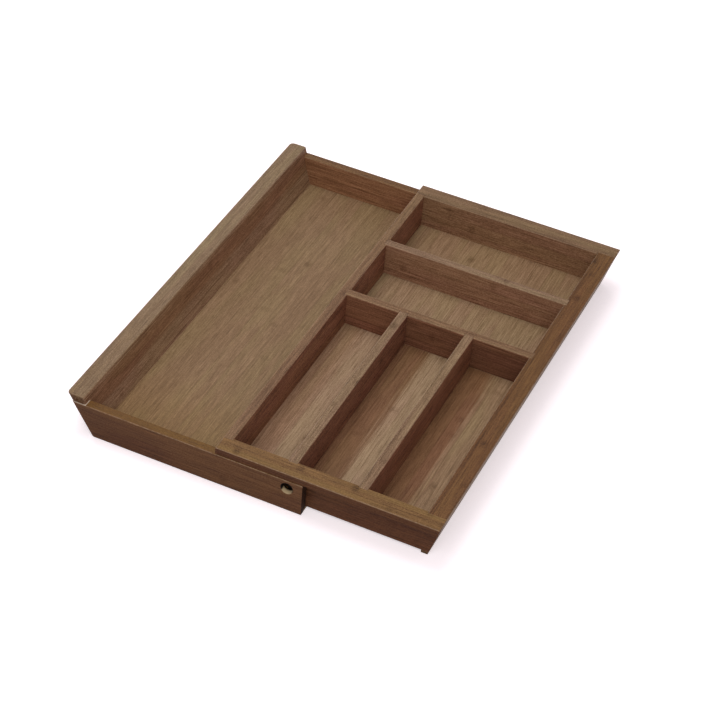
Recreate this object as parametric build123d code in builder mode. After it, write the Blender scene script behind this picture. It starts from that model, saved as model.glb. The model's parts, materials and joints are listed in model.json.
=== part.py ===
from build123d import *
import os

os.makedirs("parts", exist_ok=True)

# An extending bamboo cutlery tray for a drawer. The main tray has five compartments.
# A shallow extension slides out of its left side, on rails that run under the main tray's lips.
# X runs across the tray, Y from front to back, Z up. The origin is on the surface it stands on,
# in the middle of the tray as it stands pulled out.

# Compartments of the main tray, measured inside
left_bay_width = 60.0
middle_bay_width = 65.0
right_bay_width = 63.0
front_bay_depth = 258.0
middle_bay_depth = 90.0
back_bay_depth = 92.0
extension_bay_width = 147.0

# Boards
height = 46.0
wall_thickness = 10.0
divider_thickness = 10.0
rail_thickness = 10.0
lip_thickness = 7.5
end_top_width = 20.0
end_foot_width = 7.0
extension_foot_width = 5.0
main_floor_thickness = 3.5
extension_floor_thickness = 3.0

# Running gaps between the main tray and the extension
side_gap = 1.0
lip_gap = 0.5
floor_gap = 0.5
stop_gap = 0.5

# The extension's end board leans out at the top. Its rails stand a little proud of the lips and
# stop short of its outer face.
end_lean = 12.5
rail_proud = 1.0
rail_overlap = 95.0
rail_corner_radius = 3.5
rail_end_setback = 3.0
horn_setback = 1.0
horn_outer_radius = 5.0
horn_inner_radius = 1.8
end_top_radius = 1.2

# Stop pin, pushed into the front wall through the bore of the front rail, and the groove in the
# rail's inner face that it runs in
bore_diameter = 13.0
bore_from_rail_end = 16.5
bore_below_rail_top = 9.5
groove_depth = 3.0
groove_gap = 0.5
pin_in_wall = 5.0
pin_fit = 0.05
pin_chamfer = 0.6

# Joinery
housing_depth = 2.5
floor_rebate = 4.0
end_floor_rebate = 1.5
dowel_diameter = 5.0
dowel_length = 22.0
dowel_in_wall = 5.0
dowel_fit = 0.05
dowel_chamfer = 0.6
dowel_height_shares = (0.3, 0.72)
end_dowel_height_shares = (0.46, 0.78)
arris = 0.6
overrun = 5.0

# Places across the tray
lip_overhang = rail_thickness - rail_proud + side_gap
frame_width = lip_overhang + wall_thickness
bays_width = left_bay_width + middle_bay_width + right_bay_width + 2 * divider_thickness
tray_width = wall_thickness + bays_width + end_top_width
total_width = end_top_width + extension_bay_width + tray_width
left_face = -total_width / 2
tray_right = total_width / 2
tray_left = tray_right - tray_width
right_board_face = tray_right - end_top_width
first_divider = tray_left + wall_thickness + left_bay_width
second_divider = first_divider + divider_thickness + middle_bay_width
rail_right = tray_left + rail_overlap
travel = right_board_face - stop_gap - rail_right

# Places from front to back
tray_depth = 2 * frame_width + front_bay_depth + middle_bay_depth + back_bay_depth + 2 * divider_thickness
half_depth = tray_depth / 2
wall_outer = half_depth - lip_overhang
wall_inner = half_depth - frame_width
front_cross_face = -wall_inner + front_bay_depth
back_cross_face = front_cross_face + divider_thickness + middle_bay_depth
rail_outer = half_depth + rail_proud
rail_inner = rail_outer - rail_thickness

# Heights
lip_bottom = height - lip_thickness
rail_height = lip_bottom - lip_gap
wall_bottom = extension_floor_thickness + floor_gap
floor_top = wall_bottom + main_floor_thickness
divider_height = height - floor_top
dowel_heights = [wall_bottom + share * (lip_bottom - wall_bottom) for share in dowel_height_shares]
end_dowel_heights = [share * rail_height for share in end_dowel_height_shares]
bore_height = rail_height - bore_below_rail_top
bore_place = rail_right - bore_from_rail_end
pin_diameter = bore_diameter - 2 * groove_gap

# Slopes of the two end boards: how far each outer face comes in from top to bottom
right_slope = end_top_width - end_foot_width
left_slope = end_lean + end_top_width - extension_foot_width
end_inner_foot = left_face + end_top_width + end_lean
rail_foot_left = left_face + left_slope + rail_end_setback
extension_floor_left = end_inner_foot - end_floor_rebate

# Middle of each corner joint, where its dowels go
left_wall_middle = tray_left + wall_thickness / 2
right_board_middle = right_board_face + wall_thickness / 2
dowel_hole_radius = dowel_diameter / 2 + dowel_fit
dowel_in_board = dowel_length - dowel_in_wall
housing_face = wall_inner + housing_depth


def end_dowel_place(level):
    """Halfway between the rail's end and the inner face of the leaning end board, at one height."""
    share = (height - level) / height
    rail_end = left_face + rail_end_setback + share * left_slope
    inner = left_face + end_top_width + share * end_lean
    return (rail_end + inner) / 2


end_dowel_places = [(end_dowel_place(level), level) for level in end_dowel_heights]


# Front and back walls: a rebated section whose lip hangs over the rail, with a housing for each
# board that meets it
long_divider_housings = [(first_divider, divider_thickness), (second_divider, divider_thickness)]
corner_housings = [(tray_left, wall_thickness), (right_board_face, end_top_width)]
for name, side, housings in (
    ("front_wall", -1, corner_housings + long_divider_housings),
    ("back_wall", 1, corner_housings),
):
    with BuildPart() as side_wall:
        with BuildSketch(Plane.YZ.offset(tray_left)):
            with BuildLine():
                Polyline(
                    (side * wall_inner, height),
                    (side * half_depth, height),
                    (side * half_depth, lip_bottom),
                    (side * wall_outer, lip_bottom),
                    (side * wall_outer, wall_bottom),
                    (side * (wall_inner + floor_rebate), wall_bottom),
                    (side * (wall_inner + floor_rebate), floor_top),
                    (side * wall_inner, floor_top),
                    close=True,
                )
            make_face()
        extrude(amount=tray_width)
        # The right end slopes with the outer face of the end board
        split(
            bisect_by=Plane(origin=(tray_right, 0, height), z_dir=(height, 0, -right_slope)),
            keep=Keep.BOTTOM,
        )
        # Housings, open at the top
        for start, width in housings:
            with BuildSketch(Plane.XZ.offset(-side * wall_inner)):
                with Locations((start + width / 2, (height + wall_bottom) / 2)):
                    Rectangle(width, height - wall_bottom)
            extrude(amount=-side * housing_depth, mode=Mode.SUBTRACT)
        # Dowel holes in the bottom of the corner housings
        with BuildSketch(Plane.XZ.offset(-side * housing_face)):
            with Locations(
                [(place, level) for place in (left_wall_middle, right_board_middle) for level in dowel_heights]
            ):
                Circle(dowel_hole_radius)
        extrude(amount=-side * dowel_in_wall, mode=Mode.SUBTRACT)
        # The front wall holds the stop pin
        if name == "front_wall":
            with BuildSketch(Plane.XZ.offset(wall_outer)):
                with Locations((bore_place, bore_height)):
                    Circle(pin_diameter / 2 + pin_fit)
            extrude(amount=-pin_in_wall, mode=Mode.SUBTRACT)
        # Eased top edges, left whole where another board sits in its housing
        top_edges = side_wall.edges().group_by(Axis.Z)[-1]
        lengthwise = top_edges.filter_by(Axis.X).group_by(Axis.Y)
        crosswise = top_edges.filter_by(Axis.Y).group_by(Axis.X)
        chamfer(lengthwise[0] + lengthwise[-1] + crosswise[0] + crosswise[-1], length=arris)
    side_wall.part.label = name
    export_step(side_wall.part, f"parts/{name}.step")

# Left wall of the main tray, housed at both ends, with housings for the cross dividers
cross_faces = (front_cross_face, back_cross_face)
with BuildPart() as left_wall:
    with BuildSketch(Plane.XZ.offset(-housing_face)):
        with BuildLine():
            Polyline(
                (tray_left, wall_bottom),
                (tray_left + wall_thickness - floor_rebate, wall_bottom),
                (tray_left + wall_thickness - floor_rebate, floor_top),
                (tray_left + wall_thickness, floor_top),
                (tray_left + wall_thickness, height),
                (tray_left, height),
                close=True,
            )
        make_face()
    extrude(amount=2 * housing_face)
    for face in cross_faces:
        with BuildSketch(Plane.YZ.offset(tray_left + wall_thickness)):
            with Locations((face + divider_thickness / 2, floor_top + divider_height / 2)):
                Rectangle(divider_thickness, divider_height)
        extrude(amount=-housing_depth, mode=Mode.SUBTRACT)
    for end in (-1, 1):
        with BuildSketch(Plane.XZ.offset(-end * housing_face)):
            with Locations([(left_wall_middle, level) for level in dowel_heights]):
                Circle(dowel_hole_radius)
        extrude(amount=end * dowel_in_board, mode=Mode.SUBTRACT)
    lengthwise = left_wall.edges().filter_by(Axis.Y).group_by(Axis.Z)[-1].group_by(Axis.X)
    chamfer(lengthwise[0] + lengthwise[-1], length=arris)
left_wall.part.label = "left_wall"
export_step(left_wall.part, "parts/left_wall.step")

# Right end board: upright inside, sloping outside, with a foot that reaches the surface
with BuildPart() as right_end_board:
    with BuildSketch(Plane.XZ.offset(-wall_outer)):
        with BuildLine():
            Polyline(
                (right_board_face, 0),
                (right_board_face + end_foot_width, 0),
                (tray_right, height),
                (right_board_face, height),
                close=True,
            )
        make_face()
    extrude(amount=2 * wall_outer)
    # Above the foot the ends are cut back into the housings of the side walls
    cut_back = wall_outer - housing_face
    with BuildSketch(Plane.XY.offset(wall_bottom)):
        with Locations(
            (right_board_face + end_top_width / 2, housing_face + cut_back / 2),
            (right_board_face + end_top_width / 2, -housing_face - cut_back / 2),
        ):
            Rectangle(end_top_width + 2 * overrun, cut_back)
    extrude(amount=height, mode=Mode.SUBTRACT)
    # Groove for the floor panel
    with BuildSketch(Plane.XZ.offset(-wall_inner - floor_rebate)):
        with Locations((right_board_face + floor_rebate / 2, wall_bottom + main_floor_thickness / 2)):
            Rectangle(floor_rebate, main_floor_thickness)
    extrude(amount=2 * (wall_inner + floor_rebate), mode=Mode.SUBTRACT)
    for face in cross_faces:
        with BuildSketch(Plane.YZ.offset(right_board_face)):
            with Locations((face + divider_thickness / 2, floor_top + divider_height / 2)):
                Rectangle(divider_thickness, divider_height)
        extrude(amount=housing_depth, mode=Mode.SUBTRACT)
    for end in (-1, 1):
        with BuildSketch(Plane.XZ.offset(-end * housing_face)):
            with Locations([(right_board_middle, level) for level in dowel_heights]):
                Circle(dowel_hole_radius)
        extrude(amount=end * dowel_in_board, mode=Mode.SUBTRACT)
    lengthwise = right_end_board.edges().filter_by(Axis.Y).group_by(Axis.Z)[-1].group_by(Axis.X)
    chamfer(lengthwise[0] + lengthwise[-1], length=arris)
right_end_board.part.label = "right_end_board"
export_step(right_end_board.part, "parts/right_end_board.step")

# Floor of the main tray, let into the four walls
main_floor_width = right_board_face - tray_left - wall_thickness + 2 * floor_rebate
main_floor_depth = 2 * (wall_inner + floor_rebate)
with BuildPart() as main_floor_panel:
    with BuildSketch(Plane.XY.offset(wall_bottom)):
        with Locations((tray_left + wall_thickness - floor_rebate + main_floor_width / 2, 0)):
            Rectangle(main_floor_width, main_floor_depth)
    extrude(amount=main_floor_thickness)
main_floor_panel.part.label = "main_floor_panel"
export_step(main_floor_panel.part, "parts/main_floor_panel.step")

# Cross dividers, from the left wall to the right end board
cross_left = tray_left + wall_thickness - housing_depth
cross_length = right_board_face + housing_depth - cross_left
for name, face, housings in (
    ("front_cross_divider", front_cross_face, (first_divider, second_divider)),
    ("back_cross_divider", back_cross_face, ()),
):
    with BuildPart() as cross_divider:
        with BuildSketch(Plane.XY.offset(floor_top)):
            with Locations((cross_left + cross_length / 2, face + divider_thickness / 2)):
                Rectangle(cross_length, divider_thickness)
        extrude(amount=divider_height)
        for start in housings:
            with BuildSketch(Plane.XY.offset(floor_top)):
                with Locations((start + divider_thickness / 2, face + housing_depth / 2)):
                    Rectangle(divider_thickness, housing_depth)
            extrude(amount=divider_height, mode=Mode.SUBTRACT)
        lengthwise = cross_divider.edges().filter_by(Axis.X).group_by(Axis.Z)[-1].group_by(Axis.Y)
        chamfer(lengthwise[0] + lengthwise[-1], length=arris)
    cross_divider.part.label = name
    export_step(cross_divider.part, f"parts/{name}.step")

# Long dividers, from the front wall to the front cross divider
long_front = -wall_inner - housing_depth
long_length = front_cross_face + housing_depth - long_front
for name, start in (("left_long_divider", first_divider), ("right_long_divider", second_divider)):
    with BuildPart() as long_divider:
        with BuildSketch(Plane.XY.offset(floor_top)):
            with Locations((start + divider_thickness / 2, long_front + long_length / 2)):
                Rectangle(divider_thickness, long_length)
        extrude(amount=divider_height)
        chamfer(long_divider.edges().filter_by(Axis.Y).group_by(Axis.Z)[-1], length=arris)
    long_divider.part.label = name
    export_step(long_divider.part, f"parts/{name}.step")

# Dowels in the four corners of the main tray, two in each
with BuildPart() as main_corner_dowels:
    for end in (-1, 1):
        with BuildSketch(Plane.XZ.offset(-end * (housing_face + dowel_in_wall))):
            with Locations(
                [(place, level) for place in (left_wall_middle, right_board_middle) for level in dowel_heights]
            ):
                Circle(dowel_diameter / 2)
        extrude(amount=end * dowel_length)
    chamfer(main_corner_dowels.edges().filter_by(GeomType.CIRCLE), length=dowel_chamfer)
main_corner_dowels.part.label = "main_corner_dowels"
export_step(main_corner_dowels.part, "parts/main_corner_dowels.step")

# End board of the extension: a wedge that leans out, cut away below to sit between the rails,
# with a horn at each end of its top that lies over the rail
horn_end = rail_outer - horn_setback
with BuildPart() as extension_end_board:
    with BuildSketch(Plane.XZ.offset(-horn_end)):
        with BuildLine():
            Polyline(
                (left_face, height),
                (left_face + end_top_width, height),
                (end_inner_foot, 0),
                (left_face + left_slope, 0),
                close=True,
            )
        make_face()
    extrude(amount=2 * horn_end)
    horn_length = horn_end - rail_inner
    board_reach = end_inner_foot - left_face
    with BuildSketch():
        with Locations(
            (left_face + board_reach / 2, rail_inner + horn_length / 2),
            (left_face + board_reach / 2, -rail_inner - horn_length / 2),
        ):
            Rectangle(board_reach + 2 * overrun, horn_length)
    extrude(amount=rail_height, mode=Mode.SUBTRACT)
    # Rebate for the floor panel
    with BuildSketch():
        with Locations((end_inner_foot, 0)):
            Rectangle(2 * end_floor_rebate, 2 * rail_inner)
    extrude(amount=extension_floor_thickness, mode=Mode.SUBTRACT)
    for end in (-1, 1):
        with BuildSketch(Plane.XZ.offset(-end * rail_inner)):
            with Locations(end_dowel_places):
                Circle(dowel_hole_radius)
        extrude(amount=end * dowel_in_board, mode=Mode.SUBTRACT)
    # Rounded corners of the horns, and a rounded top
    horn_edges = extension_end_board.edges().filter_by_position(Axis.Z, rail_height, height, (False, False))
    fillet(horn_edges.group_by(Axis.X)[0], radius=horn_outer_radius)
    horn_edges = extension_end_board.edges().filter_by_position(Axis.Z, rail_height, height, (False, False))
    fillet(horn_edges.group_by(Axis.X)[-1], radius=horn_inner_radius)
    fillet(extension_end_board.faces().sort_by(Axis.Z)[-1].edges(), radius=end_top_radius)
extension_end_board.part.label = "extension_end_board"
export_step(extension_end_board.part, "parts/extension_end_board.step")

# Rails of the extension. The front one has the bore near its right end, and the stop groove.
rail_top_left = left_face + rail_end_setback + left_slope * (height - rail_height) / height
for name, side in (("extension_front_rail", -1), ("extension_back_rail", 1)):
    with BuildPart() as rail:
        with BuildSketch(Plane.XZ.offset(-side * rail_outer)):
            with BuildLine():
                Polyline(
                    (rail_top_left, rail_height),
                    (rail_right, rail_height),
                    (rail_right, 0),
                    (rail_foot_left, 0),
                    close=True,
                )
            make_face()
        extrude(amount=side * rail_thickness)
        corner = rail.edges().filter_by(Axis.Y).group_by(Axis.Z)[0].sort_by(Axis.X)[0]
        fillet(corner, radius=rail_corner_radius)
        # Rebate for the floor panel
        with BuildSketch():
            with Locations(((extension_floor_left + rail_right) / 2, side * (rail_inner + floor_rebate / 2))):
                Rectangle(rail_right - extension_floor_left, floor_rebate)
        extrude(amount=extension_floor_thickness, mode=Mode.SUBTRACT)
        with BuildSketch(Plane.XZ.offset(-side * rail_inner)):
            with Locations(end_dowel_places):
                Circle(dowel_hole_radius)
        extrude(amount=-side * dowel_in_wall, mode=Mode.SUBTRACT)
        lengthwise = rail.edges().filter_by(Axis.X).group_by(Axis.Y)
        outer_edges = lengthwise[0] if side < 0 else lengthwise[-1]
        top_edges = rail.faces().sort_by(Axis.Z)[-1].edges().filter_by(Axis.X)
        chamfer(outer_edges + (top_edges - outer_edges), length=arris)
        if name == "extension_front_rail":
            with BuildSketch(Plane.XZ.offset(rail_outer)):
                with Locations((bore_place, bore_height)):
                    Circle(bore_diameter / 2)
            extrude(amount=-rail_thickness, mode=Mode.SUBTRACT)
            with BuildSketch(Plane.XZ.offset(rail_inner)):
                with Locations((bore_place - travel / 2, bore_height)):
                    SlotCenterToCenter(travel, bore_diameter)
            extrude(amount=groove_depth, mode=Mode.SUBTRACT)
    rail.part.label = name
    export_step(rail.part, f"parts/{name}.step")

# Floor of the extension, which slides under the main tray
extension_floor_width = rail_right - extension_floor_left
with BuildPart() as extension_floor_panel:
    with BuildSketch():
        with Locations((extension_floor_left + extension_floor_width / 2, 0)):
            Rectangle(extension_floor_width, 2 * (rail_inner + floor_rebate))
    extrude(amount=extension_floor_thickness)
extension_floor_panel.part.label = "extension_floor_panel"
export_step(extension_floor_panel.part, "parts/extension_floor_panel.step")

# Stop pin: held in the front wall, with its head in the groove of the rail
pin_length = pin_in_wall + side_gap + groove_depth - groove_gap
with BuildPart() as stop_pin:
    with BuildSketch(Plane.XZ.offset(wall_outer - pin_in_wall)):
        with Locations((bore_place, bore_height)):
            Circle(pin_diameter / 2)
    extrude(amount=pin_length)
    chamfer(stop_pin.edges().filter_by(GeomType.CIRCLE), length=pin_chamfer)
stop_pin.part.label = "stop_pin"
export_step(stop_pin.part, "parts/stop_pin.step")

# Dowels that hold the end board between the rails, two at each end
with BuildPart() as extension_corner_dowels:
    for end in (-1, 1):
        with BuildSketch(Plane.XZ.offset(-end * (rail_inner + dowel_in_wall))):
            with Locations(end_dowel_places):
                Circle(dowel_diameter / 2)
        extrude(amount=end * dowel_length)
    chamfer(extension_corner_dowels.edges().filter_by(GeomType.CIRCLE), length=dowel_chamfer)
extension_corner_dowels.part.label = "extension_corner_dowels"
export_step(extension_corner_dowels.part, "parts/extension_corner_dowels.step")

print("extension travel", round(travel, 2), "mm; tray", total_width, "wide,", 2 * rail_outer, "deep")
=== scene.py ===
import json
import math
from functools import partial

import bmesh
import bpy
from mathutils import Matrix, Vector


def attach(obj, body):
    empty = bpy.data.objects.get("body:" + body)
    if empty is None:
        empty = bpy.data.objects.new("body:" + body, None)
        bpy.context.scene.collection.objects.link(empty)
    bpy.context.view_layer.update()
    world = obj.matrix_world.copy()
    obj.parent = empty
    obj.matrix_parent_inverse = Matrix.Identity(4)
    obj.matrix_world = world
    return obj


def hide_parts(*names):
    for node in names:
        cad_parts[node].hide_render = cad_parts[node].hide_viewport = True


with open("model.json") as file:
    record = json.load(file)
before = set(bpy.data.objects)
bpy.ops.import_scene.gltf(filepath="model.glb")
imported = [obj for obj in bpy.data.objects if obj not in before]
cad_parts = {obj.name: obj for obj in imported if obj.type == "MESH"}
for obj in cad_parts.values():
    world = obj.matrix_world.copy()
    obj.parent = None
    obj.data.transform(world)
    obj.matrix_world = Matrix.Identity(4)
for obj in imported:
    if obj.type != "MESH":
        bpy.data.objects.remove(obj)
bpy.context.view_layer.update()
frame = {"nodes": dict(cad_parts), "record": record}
print("stage: frame loaded,", len(frame["nodes"]), "boards and pins")

mm = 0.001  # metres in a millimetre

# Settings that many nodes share: a smooth change between two values, and a mix of two colours
smooth = {"interpolation_type": "SMOOTHSTEP"}
ofColours = {"data_type": "RGBA"}


def linear(hexColour):
    # sRGB hex to the linear colour that the shaders take
    parts = [int(hexColour[i:i + 2], 16) / 255 for i in (1, 3, 5)]
    return [p / 12.92 if p <= 0.04045 else ((p + 0.055) / 1.055) ** 2.4 for p in parts] + [1.0]


def addNode(tree, kind, values=(), **settings):
    # one shader node with its settings, and its values and links by their order or by name
    node = tree.nodes.new("ShaderNode" + kind)
    for key, value in settings.items():
        setattr(node, key, value)
    for key, value in values.items() if isinstance(values, dict) else enumerate(values):
        if isinstance(value, bpy.types.Node):
            value = value.outputs[0]
        if isinstance(value, bpy.types.NodeSocket):
            tree.links.new(value, node.inputs[key])
        else:
            node.inputs[key].default_value = value
    return node


def newMaterial(name):
    material = bpy.data.materials.new(name)
    material.use_nodes = True
    material.node_tree.nodes.clear()
    return material, partial(addNode, material.node_tree)


def boxOf(nodeName):
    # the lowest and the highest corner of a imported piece, in mm
    places = [vertex.co / mm for vertex in frame["nodes"][nodeName].data.vertices]
    return Vector(map(min, zip(*places))), Vector(map(max, zip(*places)))


# Stained bamboo: strips of split culm glued side by side, sanded, given a walnut brown stain and a thin
# satin lacquer. To the eye: fine straight fibres, a tone of its own for each strip, thin dark threads,
# a mottled spot where a strip crosses a node of the culm, and sanded tops paler than the faces. The faces
# also carry painted shade: darker and redder than the tops, and darker still where they look down.
# Lengths are in mm. A real fibre is about 0.4 mm wide, too fine to show, so fibres are drawn coarser.
bambooFinish = {
    "noises": {
        "fibre": {"width": 0.95, "length": 26.0, "detail": 2.0, "start": 0.0},
        "line": {"width": 2.0, "length": 80.0, "detail": 2.0, "start": 17.0},
        "wave": {"width": 3.2, "length": 130.0, "detail": 2.0, "start": 23.0},
        "drift": {"width": 38.0, "length": 150.0, "detail": 1.0, "start": 31.0},
        "thread": {"width": 1.0, "length": 18.0, "detail": 1.0, "start": 47.0},
        "mottle": {"width": 2.4, "length": 3.6, "detail": 2.0, "start": 59.0},
        "stipple": {"width": 0.9, "length": 1.7, "detail": 0.0, "start": 67.0},
    },
    "noiseRoughness": 0.6,
    "layerDepth": 6.5,  # depth of a strip into the board
    "layerShift": 0.9,  # how far the layers move for each unit of the seed
    "stripShift": 700.0,  # how far the pattern of a strip may be moved along it
    "upward": (0.4, 0.9),  # normals from those of the sides to those of the tops
    "downward": (-0.7, -0.2),
    "rightward": (-0.5, 0.5),
    "threadDark": (0.58, 0.72),  # the part of the noise that is drawn as dark threads
    "waveDark": (0.54, 0.68),
    "deepest": 0.3,  # the tone never gets darker than this before the dark marks
    "warmth": (1.0, 1.15, 1.3),  # darker marks are redder: the power of the tone in each channel
    # painted shade: faces that look down are darkened to this share of their tone
    "undersideShade": 0.4,
    "pink": "#fff8f6",
    "olive": "#fcfbf1",
    "tintChange": (0.38, 0.62),
    "bandEdge": 7.0,  # how softly a band ends across the grain
    "bandFade": 0.5,  # and along it
    "bandWaver": 3.0,  # how much its edge wavers, as a multiple of its softness
    "mostWaver": 21.0,
    "wearAndHighlight": "#b39a80",  # the colour of pale arrises: stain worn thin, and a painted highlight
    "rubbedPatches": (0.35, 0.6),
    "rubbedLeast": 0.3,
    "specular": 0.12,
    "fibreSheen": (0.3, 0.7),
    "roughness": (0.44, 0.58),
    "endRoughness": 0.75,
    "endFacing": (0.6, 0.9),
    "endDark": 0.3,
    "relief": 0.05 * mm,
    "reliefStrength": 0.5,
}

# Knuckles: the mottled spots where strips cross a node of the culm. Marks are those that the photo shows
knuckle = {
    "spacing": 470.0,  # from one drawn node of the culm to the next, along one strip
    "reach": 6.0,
    "core": 0.35,  # the share of the reach that is darkest
    "widthShare": 0.8,  # the share of a strip's width that it fills
    "ragged": 12.0,
    "mottleChange": (0.36, 0.62),
    "mottleLeast": 0.35,
    "markCore": 0.3,
    "markStretch": (1.0, 0.75, 0.0),
    "markDepth": 1.7,
}

# Glue seams between strips, broken where the stain has filled them
glueSeam = {"width": 0.45, "breaks": (0.4, 0.6), "least": 0.2}

# How strongly each mark shows: on the sides of the boards, on their sanded tops, and on the floor panels
depths = {
    "board": {"fibre": 1.5, "stipple": 0.9, "line": 0.8, "stripe": 0.7, "wave": 0.35, "drift": 0.3,
              "strip": 0.14, "thread": 0.22, "knuckle": 0.3, "seam": 0.2, "wearAndHighlight": 0.15},
    "top": {"fibre": 1.3, "stipple": 1.1, "line": 0.8, "stripe": 0.3, "wave": 0.2, "drift": 0.4,
            "strip": 0.18, "thread": 0.3},
    "panel": {"fibre": 1.2, "stipple": 0.5, "line": 0.5, "stripe": 0.1, "wave": 0.06, "drift": 0.15,
              "strip": 0.05, "thread": 0.22, "knuckle": 0.22, "seam": 0.22, "wearAndHighlight": 0.15},
}

# One entry for each board, with lengths and places in mm. Grain and stack are the axes that its fibres follow
# and that its strips are stacked along, strip is their width, and seed is where its pattern starts. Side and
# top are the colour of its faces and of its sanded top, and far that of the face to the left where it
# differs;
# side is the stain with painted shade, darker and redder than on the top. Spots are the places, x and y, of
# the knuckles that the photo shows on its top. Bands are darker stretches: from and to across the grain,
# from and to along it, and what they make of the colour, with edge and fade in place of the usual softness.
# Contrast is how strongly the marks show on the face to the right, wearAndHighlight how pale its arrises
# are, from stain worn thin and a painted highlight, and endDark how dark its end grain is.
boards = {
    "front_wall": {
        "grain": "X", "stack": "Z", "strip": 19.0, "seed": 3.0, "side": "#613f2a", "top": "#735734",
        "wearAndHighlight": 0.45, "spots": ((-14.9, -244.1), (49.9, -235.5), (108.2, -234.9)),
        "edge": 0.8, "bands": ((37.5, 45.0, -400.0, 400.0, "#f1ebe4"),)},
    "back_wall": {
        "grain": "X", "stack": "Z", "strip": 15.0, "seed": 11.0, "side": "#85654c", "top": "#745d45"},
    "left_wall": {
        "grain": "Y", "stack": "Z", "strip": 19.0, "seed": 23.0, "side": "#875d47", "top": "#755b43",
        "far": "#84644e", "contrast": 1.5},
    "right_end_board": {
        "grain": "Y", "stack": "Z", "strip": 19.0, "seed": 37.0, "side": "#806549", "top": "#614327",
        # paler arrises here are a painted highlight on the shaded outer round of the board's top
        "wearAndHighlight": 0.2, "spots": ((190.7, 145.5), (184.1, 215.2), (192.1, -116.9))},
    "main_floor_panel": {
        "grain": "Y", "stack": "X", "strip": 17.0, "seed": 41.0, "side": "#8b745b", "top": "#988067",
        "spots": ((18.3, -155.4), (96.1, -34.9), (158.5, -157.1), (143.7, -54.1), (49.6, 197.9)),
        "edge": 13.0,
        # the first three bands, beside the left wall and the two long dividers in front of the cross divider,
        # are painted shade together with darker culm
        "bands": ((-40.0, -2.0, -240.0, 28.0, "#eae0da"), (36.0, 75.0, -240.0, 28.0, "#c9b3a3"),
                  (111.0, 150.0, -240.0, 28.0, "#cbb1a0"), (150.0, 200.0, -240.0, 28.0, "#edebe0"),
                  (-40.0, 200.0, 28.0, 133.0, "#f1f0e9"), (-40.0, 200.0, 133.0, 240.0, "#e8e3d8"))},
    "front_cross_divider": {
        "grain": "X", "stack": "Z", "strip": 19.0, "seed": 53.0, "side": "#7f5742", "top": "#7b6147",
        "bands": ((-10.0, 42.0, 44.0, 110.0, "#e9e9e9"), (-10.0, 42.0, 110.0, 190.0, "#dddddd"))},
    "back_cross_divider": {
        "grain": "X", "stack": "Z", "strip": 15.0, "seed": 61.0, "side": "#8c6951", "top": "#7c654f",
        "spots": ((113.4, 136.0),)},
    "left_long_divider": {
        "grain": "Y", "stack": "Z", "strip": 19.0, "seed": 71.0, "side": "#815745", "top": "#806952",
        "far": "#84644e", "contrast": 1.5, "spots": ((39.4, 5.2),)},
    "right_long_divider": {
        "grain": "Y", "stack": "Z", "strip": 19.0, "seed": 83.0, "side": "#855a45", "top": "#7d664e",
        "far": "#84644e", "contrast": 1.5},
    "extension_end_board": {
        "grain": "Y", "stack": "Z", "strip": 23.0, "seed": 97.0, "side": "#886c54", "top": "#816d54",
        "fade": 60.0,
        "bands": ((23.0, 42.0, -400.0, 400.0, "#ebdcd2"), (48.0, 60.0, -400.0, -130.0, "#fffcea"))},
    "extension_front_rail": {
        "grain": "X", "stack": "Z", "strip": 19.0, "seed": 103.0, "side": "#6d4b33", "top": "#6b4c24",
        "wearAndHighlight": 0.4, "endDark": 0.75, "fade": 25.0,
        "bands": ((-10.0, 34.0, -300.0, -90.0, "#e8e3e6"),)},
    "extension_back_rail": {
        "grain": "X", "stack": "Z", "strip": 13.0, "seed": 113.0, "side": "#886147", "top": "#694d30"},
    "extension_floor_panel": {
        "grain": "Y", "stack": "X", "strip": 17.0, "seed": 127.0, "side": "#7f664b", "top": "#816a4f",
        "spots": ((-106.6, 104.6),), "fade": 70.0,
        "bands": ((-200.0, 60.0, -400.0, -170.0, "#fcf8e2"),)},
}

# Bare bamboo on the front rail, in mm: the lower wall of the bore, and a line on the top round the horn.
# The upper wall of the bore and all of it deep inside are painted shade, and the line has a painted highlight
bareWoodShadeAndHighlight = {
    "colour": "#c4ad86",
    "paintedBoreShade": "#140c07",  # painted shade: the upper wall, and all of it deep in the bore
    "reach": 6.8,  # from the bore's axis
    "below": (-5.0, -2.6),  # bare under this level, measured from the axis; painted shade above it
    "deep": (3.5, 6.5),  # and as far in as this, measured from the rail's face; painted shade deeper in
    # the line round the horn: bare wood, made paler still as a painted highlight
    "line": "#b7a795",
    "lineEnd": (-179.9, -179.4),
    "lineUpward": (0.5, 0.7),
}


def boardPlaces(add, board):
    # where a point of the board lies, in mm, and which way its face looks
    look = bambooFinish
    coords = add("TexCoord")
    inMm = add("VectorMath", (coords.outputs["Object"], (1 / mm, 1 / mm, 1 / mm)), operation="MULTIPLY")
    axes = add("SeparateXYZ", (inMm,)).outputs
    normal = add("SeparateXYZ", (coords.outputs["Normal"],)).outputs
    thin = [axis for axis in "XYZ" if axis not in (board["grain"], board["stack"])][0]
    return {
        "inMm": inMm,
        "x": axes["X"],
        "along": axes[board["grain"]],
        "across": axes[board["stack"]],
        "through": axes[thin],
        "normal": normal,
        "upward": add("MapRange", (normal["Z"], *look["upward"], 0.0, 1.0), **smooth),
        "rightward": add("MapRange", (normal["X"], *look["rightward"], 0.0, 1.0), **smooth),
    }


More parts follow.
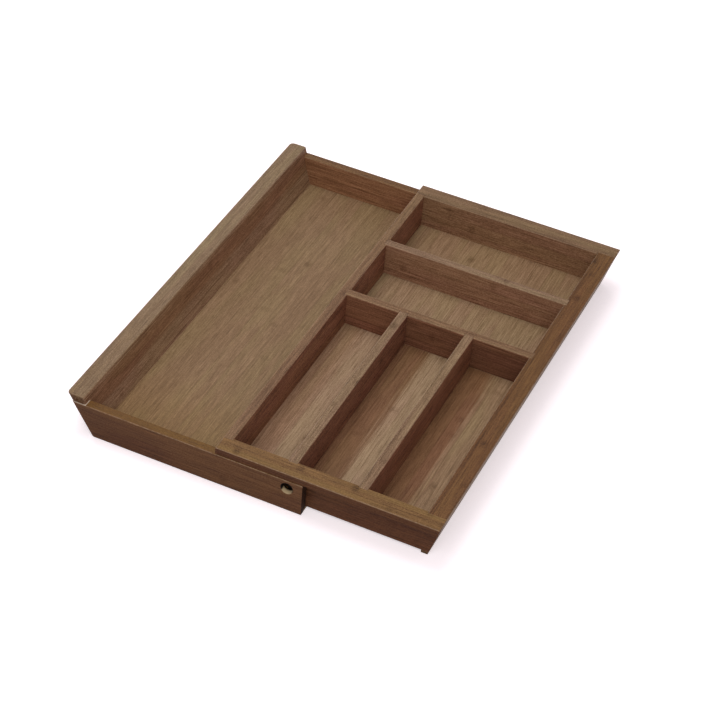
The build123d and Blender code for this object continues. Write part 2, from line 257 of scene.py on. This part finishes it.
def stripPattern(add, board, at):
    # the strips of the lamination, each with random values and a stretch of the noises of its own
    look = bambooFinish
    seed = board["seed"]
    cellAcross = add("Math", (at["across"], board["strip"]), operation="DIVIDE")
    moved = add("Math", (at["through"], seed * look["layerShift"]), operation="ADD")
    cellThrough = add("Math", (moved, look["layerDepth"]), operation="DIVIDE")
    wholeAcross = add("Math", (cellAcross,), operation="FLOOR")
    wholeThrough = add("Math", (cellThrough,), operation="FLOOR")
    cell = add("CombineXYZ", (wholeAcross, wholeThrough, seed))
    chance = add("TexWhiteNoise", {"Vector": cell}, noise_dimensions="3D")
    chances = add("SeparateColor", (chance.outputs["Color"],)).outputs
    shifted = add("Math", (chances[0], look["stripShift"], at["along"]), operation="MULTIPLY_ADD")
    place = add("CombineXYZ", (shifted, at["across"], at["through"]))
    noises = {}
    for name, size in look["noises"].items():
        scale = (1 / size["length"], 1 / size["width"], 1 / size["width"])
        start = (seed + size["start"], size["start"], seed)
        scaled = add("VectorMath", (place, scale, start), operation="MULTIPLY_ADD")
        noises[name] = add("TexNoise", {"Vector": scaled, "Scale": 1.0, "Detail": size["detail"],
                                        "Roughness": look["noiseRoughness"]})
    share = add("Math", (cellAcross,), operation="FRACT")
    fromMiddle = add("Math", (share, 0.5), operation="SUBTRACT")  # from the middle of a strip, in strips
    return noises, chances, fromMiddle


def knuckleSpots(add, board, at, mottle, chances, fromMiddle):
    # each strip crosses a node of the culm at a place of its own, and some show where the photo has them
    ragged = add("Math", (mottle, 0.5), operation="SUBTRACT")
    patches = add("MapRange", (mottle, *knuckle["mottleChange"], knuckle["mottleLeast"], 1.0), **smooth)

    def mottled(away, core):
        # a ragged spot that is darkest up to its core
        torn = add("Math", (ragged, knuckle["ragged"], away), operation="MULTIPLY_ADD")
        disc = add("MapRange", (torn, knuckle["reach"] * core, knuckle["reach"], 1.0, 0.0), **smooth)
        return add("Math", (disc, patches), operation="MULTIPLY")

    moved = add("Math", (chances[2], knuckle["spacing"], at["along"]), operation="MULTIPLY_ADD")
    offAlong = add("Math", (moved, knuckle["spacing"] / 2), operation="PINGPONG")
    offAcross = add("Math", (fromMiddle, board["strip"] * knuckle["widthShare"]), operation="MULTIPLY")
    off = add("CombineXYZ", (offAlong, offAcross, 0.0))
    spot = mottled(add("VectorMath", (off,), operation="LENGTH").outputs["Value"], knuckle["core"])
    for x, y in board.get("spots", ()):
        off = add("VectorMath", (at["inMm"], (x, y, 0)), operation="SUBTRACT")
        off = add("VectorMath", (off, knuckle["markStretch"]), operation="MULTIPLY")
        mark = mottled(add("VectorMath", (off,), operation="LENGTH").outputs["Value"], knuckle["markCore"])
        onTop = add("Math", (mark, at["upward"]), operation="MULTIPLY")
        deep = add("Math", (onTop, knuckle["markDepth"]), operation="MULTIPLY")
        spot = add("Math", (spot, deep), operation="MAXIMUM")
    return spot


def seamLines(add, board, line, fromMiddle, depth):
    half = glueSeam["width"] / board["strip"]
    offMiddle = add("Math", (fromMiddle,), operation="ABSOLUTE")
    seam = add("MapRange", (offMiddle, 0.5 - 2 * half, 0.5 - half / 2, 0.0, depth), **smooth)
    broken = add("MapRange", (line, *glueSeam["breaks"], glueSeam["least"], 1.0), **smooth)
    return add("Math", (seam, broken), operation="MULTIPLY")


def boardStainAndShade(add, board, at, noises):
    # the colour of the faces and of the sanded top: stain with painted shade on the faces, drifting between
    # pink and olive, with its darker bands
    look = bambooFinish
    side = linear(board["side"])
    if "far" in board:
        side = add("Mix", {0: at["rightward"], 6: linear(board["far"]), 7: side}, **ofColours).outputs[2]
    stain = add("Mix", {0: at["upward"], 6: side, 7: linear(board["top"])}, **ofColours).outputs[2]
    change = add("MapRange", (noises["drift"], *look["tintChange"], 0.0, 1.0), **smooth)
    tint = add("Mix", {0: change, 6: linear(look["pink"]), 7: linear(look["olive"])}, **ofColours).outputs[2]
    stain = add("Mix", {0: 1.0, 6: stain, 7: tint}, blend_type="MULTIPLY", **ofColours).outputs[2]

    edge = board.get("edge", look["bandEdge"])
    fade = board.get("fade", look["bandFade"])
    waver = add("Math", (noises["line"], 0.5), operation="SUBTRACT")
    wavy = add("Math", (waver, min(look["bandWaver"] * edge, look["mostWaver"]), at["across"]),
               operation="MULTIPLY_ADD")
    for fromAcross, toAcross, fromAlong, toAlong, darker in board.get("bands", ()):
        band = 1.0
        for place, border, softness, before, after in ((wavy, fromAcross, edge / 2, 0.0, 1.0),
                                                       (wavy, toAcross, edge / 2, 1.0, 0.0),
                                                       (at["along"], fromAlong, fade, 0.0, 1.0),
                                                       (at["along"], toAlong, fade, 1.0, 0.0)):
            inside = add("MapRange", (place, border - softness, border + softness, before, after), **smooth)
            band = add("Math", (band, inside), operation="MULTIPLY")
        banded = add("Mix", {0: band, 6: stain, 7: linear(darker)}, blend_type="MULTIPLY", **ofColours)
        stain = banded.outputs[2]
    return stain


def withBareWoodShadeAndHighlight(add, at, colour):
    # the front rail's colour, with the wood bare in the lower wall of its bore and in a line round the horn;
    # the rest of the bore's wall is painted shade, and the line is a painted highlight on bare wood
    pinLow, pinHigh = boxOf("stop_pin")
    axis = (pinLow + pinHigh) / 2
    face = boxOf("extension_front_rail")[0].y
    fromAxis = add("VectorMath", (at["inMm"], (axis.x, 0, axis.z)), operation="SUBTRACT")
    flat = add("VectorMath", (fromAxis, (1, 0, 1)), operation="MULTIPLY")
    radius = add("VectorMath", (flat,), operation="LENGTH").outputs["Value"]
    inBore = add("Math", (radius, bareWoodShadeAndHighlight["reach"]), operation="LESS_THAN")
    level = add("SeparateXYZ", (fromAxis,)).outputs
    # Painted shade: the bore's wall above the bare level, and all of it deep inside, is painted nearly black
    deepFrom, deepTo = (face + depth for depth in bareWoodShadeAndHighlight["deep"])
    above = add("MapRange", (level["Z"], *bareWoodShadeAndHighlight["below"], 0.0, 1.0), **smooth)
    deep = add("MapRange", (level["Y"], deepFrom, deepTo, 0.0, 1.0), **smooth)
    shade = add("Math", (above, deep), operation="MAXIMUM")
    pale, paintedBoreShade = linear(bareWoodShadeAndHighlight["colour"]), linear(bareWoodShadeAndHighlight["paintedBoreShade"])
    wall = add("Mix", {0: shade, 6: pale, 7: paintedBoreShade}, **ofColours).outputs[2]
    colour = add("Mix", {0: inBore, 6: colour, 7: wall}, **ofColours).outputs[2]

    # The line round the horn: bare wood with a painted highlight
    nearHorn = add("MapRange", (at["x"], *bareWoodShadeAndHighlight["lineEnd"], 1.0, 0.0), **smooth)
    onTop = add("MapRange", (at["normal"]["Z"], *bareWoodShadeAndHighlight["lineUpward"], 0.0, 1.0), **smooth)
    line = add("Math", (nearHorn, onTop), operation="MULTIPLY")
    return add("Mix", {0: line, 6: colour, 7: linear(bareWoodShadeAndHighlight["line"])}, **ofColours).outputs[2]


def stainedBamboo(boardName, board):
    material, add = newMaterial("stained_bamboo_" + boardName)
    look = bambooFinish
    isPanel = "floor" in boardName
    depth = depths["panel" if isPanel else "board"]
    topDepth = depths["panel" if isPanel else "top"]
    at = boardPlaces(add, board)
    noises, chances, fromMiddle = stripPattern(add, board, at)
    strength = add("Math", (at["rightward"], board.get("contrast", 1.0) - 1.0, 1.0), operation="MULTIPLY_ADD")

    def weight(mark):
        # how strongly a mark shows, from the sides to the top
        side = add("Math", (strength, depth[mark]), operation="MULTIPLY")
        more = add("Math", (topDepth[mark], side), operation="SUBTRACT")
        return add("Math", (at["upward"], more, side), operation="MULTIPLY_ADD")

    # Tone: how light the stain is at each place
    tone = 1.0
    for value, mark in ((noises["fibre"], "fibre"), (noises["stipple"], "stipple"), (noises["line"], "line"),
                        (noises["wave"], "stripe"), (noises["drift"], "drift"), (chances[1], "strip")):
        swing = add("Math", (value, 0.5), operation="SUBTRACT")
        tone = add("Math", (swing, weight(mark), tone), operation="MULTIPLY_ADD")
    tone = add("Math", (tone, look["deepest"]), operation="MAXIMUM")

    # Dark marks: short threads, long wavy lines, knuckles, seams, and end grain, which drinks more stain
    threads = add("MapRange", (noises["thread"], *look["threadDark"], 0.0, weight("thread")), **smooth)
    waves = add("MapRange", (noises["wave"], *look["waveDark"], 0.0, weight("wave")), **smooth)
    dark = add("Math", (threads, waves), operation="ADD")
    spots = knuckleSpots(add, board, at, noises["mottle"], chances, fromMiddle)
    dark = add("Math", (spots, depth["knuckle"], dark), operation="MULTIPLY_ADD")
    seams = seamLines(add, board, noises["line"], fromMiddle, depth["seam"])
    dark = add("Math", (dark, seams), operation="ADD")
    facing = add("Math", (at["normal"][board["grain"]],), operation="ABSOLUTE")
    endGrain = add("MapRange", (facing, *look["endFacing"], 0.0, 1.0), **smooth)
    dark = add("Math", (endGrain, board.get("endDark", look["endDark"]), dark), operation="MULTIPLY_ADD",
               use_clamp=True)
    light = add("Math", (1.0, dark), operation="SUBTRACT")
    tone = add("Math", (tone, light), operation="MULTIPLY")
    # Painted shade: faces that look down are darkened, as if in the shade beneath them
    below = add("MapRange", (at["normal"]["Z"], *look["downward"], look["undersideShade"], 1.0), **smooth)
    tone = add("Math", (tone, below), operation="MULTIPLY")

    # Colour: the stain in this tone with its painted shade, paler on arrises: stain worn thin and a painted
    # highlight
    warmTone = add("CombineXYZ", [add("Math", (tone, power), operation="POWER") for power in look["warmth"]])
    shadedStainColour = add("VectorMath", (boardStainAndShade(add, board, at, noises), warmTone), operation="MULTIPLY")
    arris = add("Attribute", attribute_name="arris")
    patches = add("MapRange", (noises["mottle"], *look["rubbedPatches"], look["rubbedLeast"], 1.0), **smooth)
    wearAndHighlight = add("Math", (arris.outputs["Fac"], patches), operation="MULTIPLY")
    wearAndHighlight = add("Math", (wearAndHighlight, board.get("wearAndHighlight", depth["wearAndHighlight"])), operation="MULTIPLY")
    colour = add("Mix", {0: wearAndHighlight, 6: shadedStainColour, 7: linear(look["wearAndHighlight"])}, **ofColours).outputs[2]
    if boardName == "extension_front_rail":
        colour = withBareWoodShadeAndHighlight(add, at, colour)

    sheen = add("MapRange", (noises["fibre"], *look["fibreSheen"], *look["roughness"]), **smooth)
    rough = add("Mix", {0: endGrain, 2: sheen, 3: look["endRoughness"]})
    height = add("Math", (noises["fibre"], dark), operation="SUBTRACT")
    bump = add("Bump", {"Height": height, "Strength": look["reliefStrength"], "Distance": look["relief"]})
    shader = add("BsdfPrincipled", {"Base Color": colour, "Roughness": rough, "Normal": bump,
                                    "Specular IOR Level": look["specular"]})
    add("OutputMaterial", {"Surface": shader})
    return material


# Boards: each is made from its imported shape, with its sharp edges eased by a round of 0.3 mm
boardEdges = {
    "round": 0.3 * mm,
    "segments": 2,
    "sharpAngle": math.radians(25),
    "flatAngle": math.radians(0.5),
    "sameCorner": 0.002 * mm,
    "arrisWidth": 1.3 * mm,  # faces narrower than this are arrises, where the stain is worn and a highlight is painted
}


def easedBoard(nodeName, body):
    shape = bmesh.new()
    shape.from_mesh(frame["nodes"][nodeName].data)
    bmesh.ops.remove_doubles(shape, verts=shape.verts, dist=boardEdges["sameCorner"])
    bmesh.ops.dissolve_limit(shape, angle_limit=boardEdges["flatAngle"], verts=shape.verts, edges=shape.edges)
    sharp = [e for e in shape.edges if e.is_manifold and e.calc_face_angle(0.0) > boardEdges["sharpAngle"]]
    bmesh.ops.bevel(shape, geom=sharp, offset=boardEdges["round"], offset_type="OFFSET", affect="EDGES",
                    segments=boardEdges["segments"], profile=0.5, material=-1, clamp_overlap=True)
    shape.normal_update()
    narrow = [face.calc_area() / max(e.calc_length() for e in face.edges) < boardEdges["arrisWidth"]
              for face in shape.faces]
    mesh = bpy.data.meshes.new(nodeName + "_board")
    shape.to_mesh(mesh)
    shape.free()
    rim = mesh.attributes.new("arris", "FLOAT", "FACE")
    rim.data.foreach_set("value", [float(isNarrow) for isNarrow in narrow])
    piece = bpy.data.objects.new(nodeName + "_board", mesh)
    bpy.context.scene.collection.objects.link(piece)
    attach(piece, body)
    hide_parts(nodeName)
    return piece


bodyOf = {node: body for body, nodes in frame["record"]["behaviour"]["bodies"].items() for node in nodes}
for boardName, board in boards.items():
    piece = easedBoard(boardName, bodyOf[boardName])
    piece.data.materials.append(stainedBamboo(boardName, board))
print("stage: boards dressed")

# Stop pin: turned bamboo, matt and nearly black, seen as a dark disc deep in the bore. Its fibres, given as
# so many to the metre, are about 1.1 mm wide and 17 mm long, coarser than real ones
pinFinish = {
    "dark": "#0a0604",
    "light": "#1a100b",
    "fibresPerMetre": (900, 60, 900),
    "detail": 3.0,
    "roughness": 0.85,
    "specular": 0.1,
    "relief": 0.08 * mm,
    "reliefStrength": 0.4,
}

# Dowels in the corner joints: cut bamboo, hidden in the boards
dowelFinish = {"colour": "#b59a72", "roughness": 0.7}


def turnedPin():
    material, add = newMaterial("dark_stained_pin")
    coords = add("TexCoord")
    scaled = add("VectorMath", (coords.outputs["Object"], pinFinish["fibresPerMetre"]), operation="MULTIPLY")
    noise = add("TexNoise", {"Vector": scaled, "Scale": 1.0, "Detail": pinFinish["detail"]})
    colour = add("Mix", {0: noise, 6: linear(pinFinish["dark"]), 7: linear(pinFinish["light"])}, **ofColours)
    bump = add("Bump", {"Height": noise, "Strength": pinFinish["reliefStrength"],
                        "Distance": pinFinish["relief"]})
    shader = add("BsdfPrincipled", {"Base Color": colour.outputs[2], "Roughness": pinFinish["roughness"],
                                    "Specular IOR Level": pinFinish["specular"], "Normal": bump})
    add("OutputMaterial", {"Surface": shader})
    return material


def cutBamboo():
    material, add = newMaterial("cut_bamboo_dowel")
    shader = add("BsdfPrincipled", {"Base Color": linear(dowelFinish["colour"]),
                                    "Roughness": dowelFinish["roughness"]})
    add("OutputMaterial", {"Surface": shader})
    return material


dowelMaterial = cutBamboo()
for pinName, pinMaterial in (("stop_pin", turnedPin()), ("main_corner_dowels", dowelMaterial),
                             ("extension_corner_dowels", dowelMaterial)):
    pinData = frame["nodes"][pinName].data
    pinData.materials.clear()
    pinData.materials.append(pinMaterial)
print("stage: pins dressed")

# Studio: a pale floor and air that look white. The floor throws back less light on the tray than it shows,
# and glows more, and whiter, far from the tray, so that it has no horizon
studio = {
    "floorHalf": 3.0,
    "floorLevel": -0.2 * mm,
    "floorSeen": "#f2ecee",
    "floorBounce": "#606060",
    "glow": 0.45,
    "glowColour": "#fff7f9",
    "farGlow": 0.95,
    "farFrom": 0.45,  # metres from the middle of the tray
    "farTo": 1.3,
    "farColour": "#ffffff",
    "air": 0.416,
    "airColour": "#fff5fb",
    "airSeen": 1.0,
    "airSeenColour": "#ffffff",
}

# Soft boxes: the key stands high on the left, a little behind; the front one fills the faces to the front,
# and a low one behind on the left fills those that the others miss
softBoxes = {
    "key_softbox": {"place": (-0.3, 0.16, 1.45), "size": 0.8, "power": 9.5},
    "front_softbox": {"place": (0.5, -1.45, 1.4), "size": 1.4, "power": 16.0},
    "low_softbox": {"place": (-1.15, 0.95, 0.22), "size": 1.0, "power": 9.0},
}


def seenRay(add):
    # 1 where the camera, a sheen or a clear piece looks, 0 for the light that falls on the tray
    path = add("LightPath")
    seen = path.outputs["Is Camera Ray"]
    for kind in ("Is Glossy Ray", "Is Transmission Ray"):
        seen = add("Math", (seen, path.outputs[kind]), operation="MAXIMUM")
    return seen


def paleFloor():
    material, add = newMaterial("pale_studio_floor")
    seen = seenRay(add)
    bounce, shown = linear(studio["floorBounce"]), linear(studio["floorSeen"])
    colour = add("Mix", {0: seen, 6: bounce, 7: shown}, **ofColours)
    diffuse = add("BsdfDiffuse", {"Color": colour.outputs[2]})
    coords = add("TexCoord")
    away = add("VectorMath", (coords.outputs["Object"],), operation="LENGTH").outputs["Value"]
    far = add("MapRange", (away, studio["farFrom"], studio["farTo"]))
    level = add("MapRange", {"Value": far, "To Min": studio["glow"], "To Max": studio["farGlow"]})
    strength = add("Math", (seen, level), operation="MULTIPLY")
    tint = add("Mix", {0: far, 6: linear(studio["glowColour"]), 7: linear(studio["farColour"])}, **ofColours)
    glow = add("Emission", {"Color": tint.outputs[2], "Strength": strength})
    both = add("AddShader", (diffuse, glow))
    add("OutputMaterial", {"Surface": both})
    return material


def addFloor():
    shape = bmesh.new()
    bmesh.ops.create_grid(shape, x_segments=1, y_segments=1, size=studio["floorHalf"])
    bmesh.ops.translate(shape, verts=shape.verts, vec=(0, 0, studio["floorLevel"]))
    mesh = bpy.data.meshes.new("studio_floor")
    shape.to_mesh(mesh)
    shape.free()
    mesh.materials.append(paleFloor())
    studioFloor = bpy.data.objects.new("studio_floor", mesh)
    bpy.context.scene.collection.objects.link(studioFloor)


def addSoftBox(name, box):
    # a square light that looks at the middle of the tray
    lightData = bpy.data.lights.new(name, "AREA")
    lightData.shape = "SQUARE"
    lightData.size = box["size"]
    lightData.energy = box["power"]
    light = bpy.data.objects.new(name, lightData)
    bpy.context.scene.collection.objects.link(light)
    aim = -Vector(box["place"])
    light.matrix_world = Matrix.Translation(box["place"]) @ aim.to_track_quat("-Z", "Y").to_matrix().to_4x4()


def addAir():
    world = bpy.data.worlds.new("studio_air")
    bpy.context.scene.world = world
    world.use_nodes = True
    world.node_tree.nodes.clear()
    add = partial(addNode, world.node_tree)
    seen = seenRay(add)
    strength = add("MapRange", {"Value": seen, "To Min": studio["air"], "To Max": studio["airSeen"]})
    unseen, shown = linear(studio["airColour"]), linear(studio["airSeenColour"])
    tint = add("Mix", {0: seen, 6: unseen, 7: shown}, **ofColours)
    air = add("Background", {"Color": tint.outputs[2], "Strength": strength})
    add("OutputWorld", {"Surface": air})


# Camera at the photo's viewpoint, in metres and degrees, with its lens in mm
view = {
    "place": (0.67267, -1.66440, 1.50596),
    "turn": 21.3417,  # to the left of straight along +Y
    "down": 40.2717,
    "roll": 5.3252,
    "lens": 110.791,
    "sensor": 36.0,  # the usual width, in mm
    "shift": (-0.01866, 0.00414),
    "farthest": 50.0,
}


def addCamera():
    cameraData = bpy.data.cameras.new("photo_view")
    cameraData.sensor_width = view["sensor"]
    cameraData.lens = view["lens"]
    cameraData.shift_x, cameraData.shift_y = view["shift"]
    cameraData.clip_end = view["farthest"]
    camera = bpy.data.objects.new("photo_view", cameraData)
    bpy.context.scene.collection.objects.link(camera)
    camera.matrix_world = (
        Matrix.Translation(view["place"])
        @ Matrix.Rotation(math.radians(view["turn"]), 4, "Z")
        @ Matrix.Rotation(math.radians(90 - view["down"]), 4, "X")
        @ Matrix.Rotation(math.radians(view["roll"]), 4, "Z")
    )
    bpy.context.scene.camera = camera


addFloor()
for boxName, box in softBoxes.items():
    addSoftBox(boxName, box)
addAir()
addCamera()
bpy.context.scene.view_settings.view_transform = "Standard"
print("stage: studio set")
